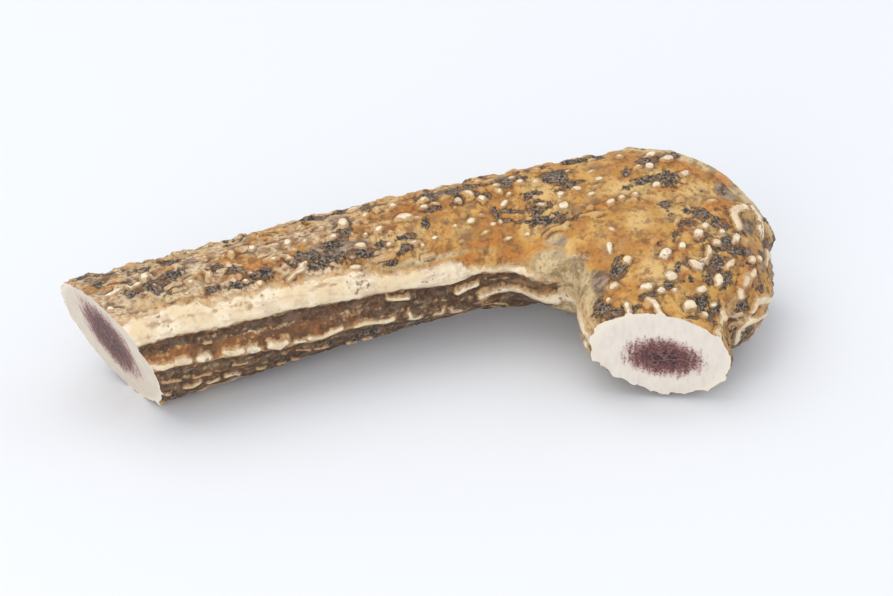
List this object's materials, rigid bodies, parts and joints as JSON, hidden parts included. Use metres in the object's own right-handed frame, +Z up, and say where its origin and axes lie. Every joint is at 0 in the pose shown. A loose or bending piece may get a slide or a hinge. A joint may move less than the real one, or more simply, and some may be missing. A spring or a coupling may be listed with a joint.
{
  "type": "split deer antler",
  "caption": "Forked piece of natural deer antler, pearled and ridged, with the beam sawn off at both ends and the tine sawn off short.",
  "frame": {"origin": "on the table, under the middle of the bounding box", "axes": "+X along the beam from the thin sawn end to the burr end, -Y towards the tine, +Z up as the piece lies"},
  "size_m": [0.1682, 0.071, 0.0362],
  "materials": {
    "antler": "satin, pearled, brown with cream ridges"
  },
  "bodies": {
    "root": {"beam": "antler", "tine": "antler"}
  },
  "joints": []
}
